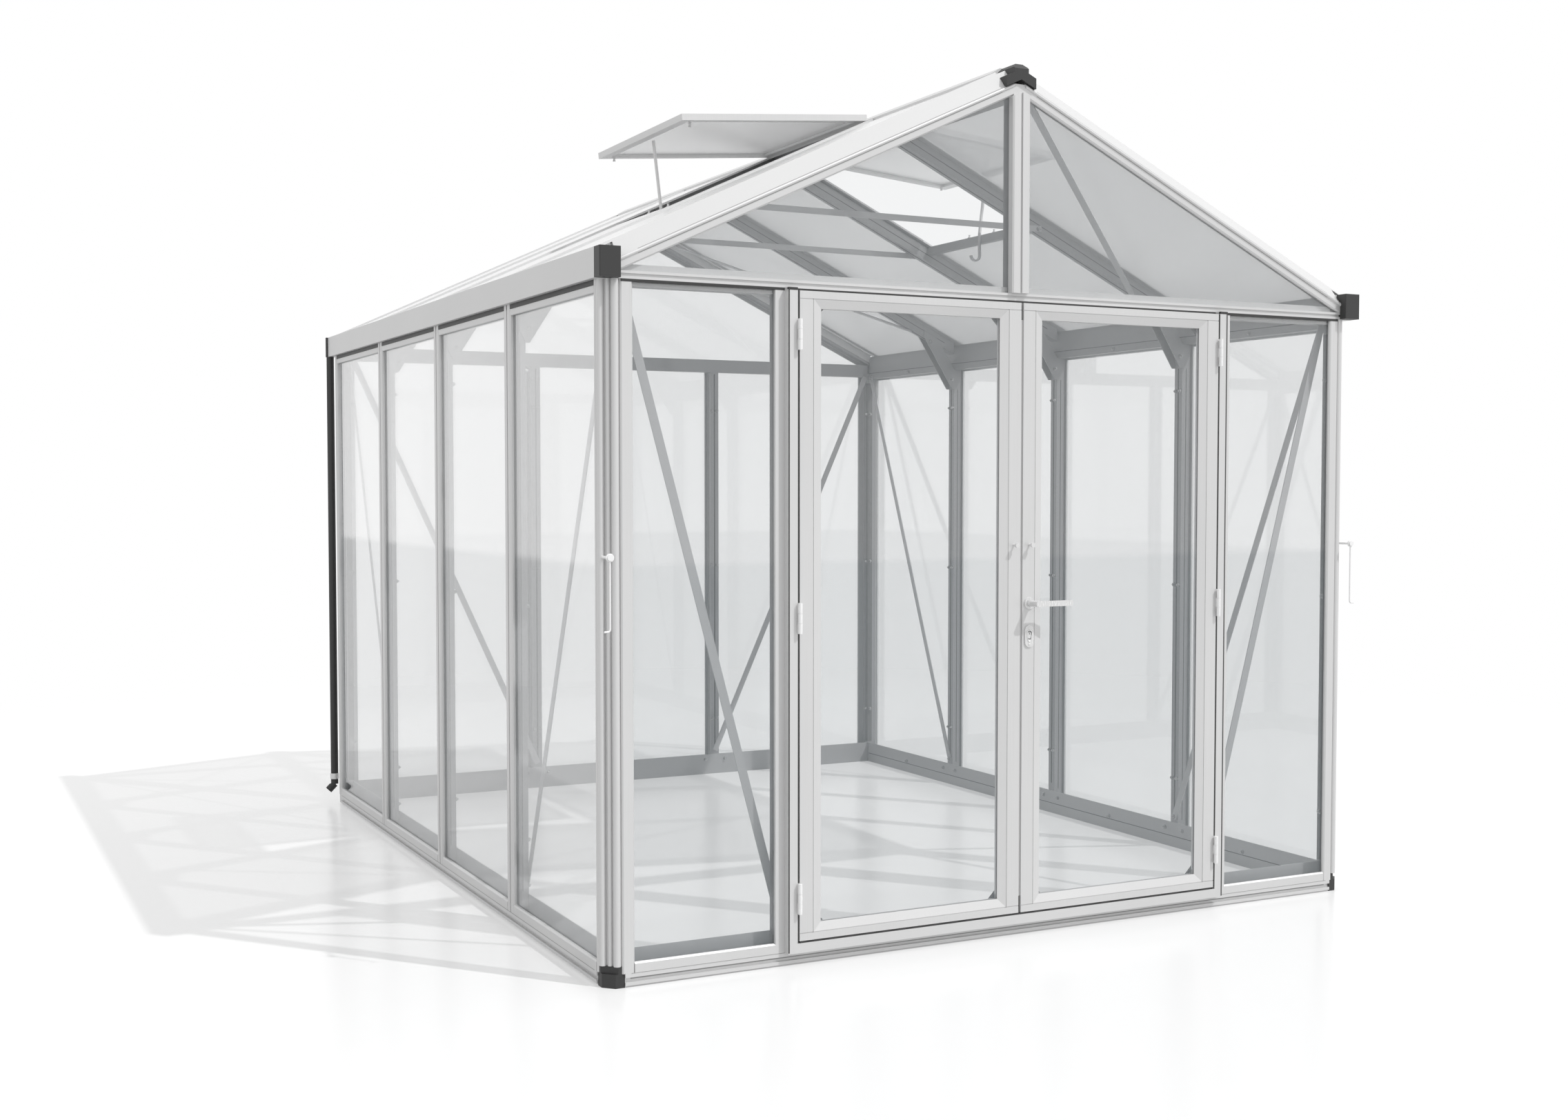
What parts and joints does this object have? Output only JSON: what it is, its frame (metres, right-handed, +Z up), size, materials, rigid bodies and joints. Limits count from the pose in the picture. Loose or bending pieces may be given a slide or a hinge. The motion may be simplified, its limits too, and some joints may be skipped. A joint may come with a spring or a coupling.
{
  "type": "glass greenhouse",
  "caption": "Gabled walk-in greenhouse of aluminium profiles and clear panes, with hinged double doors, side gutters and roof vents propped open beside the ridge.",
  "frame": {"origin": "middle of the base on the ground", "axes": "+Z up, -Y out of the front gable with the doors, +X to the right seen from the front"},
  "size_m": [2.6442, 3.203, 2.5241],
  "materials": {
    "frame_aluminium": "satin mill-finish extruded profile",
    "black_plastic": "matte moulded black plastic",
    "clear_glass": "clear toughened glass with a faint grey-green cast",
    "roof_sheet": "translucent twin-wall sheet",
    "bright_fittings": "bright satin metal"
  },
  "bodies": {
    "house": {"front_base_rail": "frame_aluminium", "rear_base_rail": "frame_aluminium", "side_base_rails": "frame_aluminium", "corner_posts": "frame_aluminium", "wall_bars": "frame_aluminium", "pane_bottom_trims": "frame_aluminium", "door_posts": "frame_aluminium", "door_sill": "frame_aluminium", "eave_beams": "frame_aluminium", "gutters": "frame_aluminium", "gable_posts": "frame_aluminium", "gable_rafters": "frame_aluminium", "rafters": "frame_aluminium", "rafter_caps": "frame_aluminium", "ridge_beam": "frame_aluminium", "vent_frames": "frame_aluminium", "vent_cross_bars": "frame_aluminium", "collar_ties": "frame_aluminium", "wall_braces": "frame_aluminium", "roof_braces": "frame_aluminium", "knee_plates": "frame_aluminium", "base_corner_feet": "black_plastic", "gutter_end_caps": "black_plastic", "ridge_end_caps": "black_plastic", "downpipes": "black_plastic", "front_wall_panes": "clear_glass", "side_wall_panes": "clear_glass", "rear_wall_panes": "clear_glass", "gable_panes": "clear_glass", "left_roof_panels": "roof_sheet", "right_roof_panels": "roof_sheet", "vent_panels": "roof_sheet", "vent_stays": "bright_fittings", "post_hinges": "bright_fittings", "stay_hook_bolts": "bright_fittings"},
    "left_door": {"left_door_frame": "frame_aluminium", "left_door_pane": "clear_glass", "left_door_knob": "bright_fittings", "left_door_hinges": "bright_fittings"},
    "right_door": {"right_door_frame": "frame_aluminium", "right_door_pane": "clear_glass", "right_door_knob": "bright_fittings", "right_door_hinges": "bright_fittings", "lock_plate": "bright_fittings"},
    "lever": {"lever_handle": "bright_fittings"},
    "left_hook": {"left_stay_hook": "bright_fittings"},
    "right_hook": {"right_stay_hook": "bright_fittings"}
  },
  "joints": [
    {"name": "left_door_hinge", "type": "hinge", "parent": "house", "child": "left_door", "pos_m": [-0.724, -1.576, 0.954], "axis": [0, 0, -1], "range_deg": [0, 180]},
    {"name": "right_door_hinge", "type": "hinge", "parent": "house", "child": "right_door", "pos_m": [0.724, -1.576, 0.954], "axis": [0, 0, 1], "range_deg": [0, 180]},
    {"name": "lever_turn", "type": "hinge", "parent": "right_door", "child": "lever", "pos_m": [0.027, -1.567, 0.973], "axis": [0, 1, 0], "range_deg": [0, 40], "stiffness_Nm_per_rad": 1, "springref_deg": -11.46},
    {"name": "left_hook_swing", "type": "hinge", "parent": "house", "child": "left_hook", "pos_m": [-1.27, -1.569, 1.128], "axis": [0, 1, 0], "range_deg": [0, 90]},
    {"name": "right_hook_swing", "type": "hinge", "parent": "house", "child": "right_hook", "pos_m": [1.27, -1.569, 1.128], "axis": [0, -1, 0], "range_deg": [0, 90]}
  ]
}
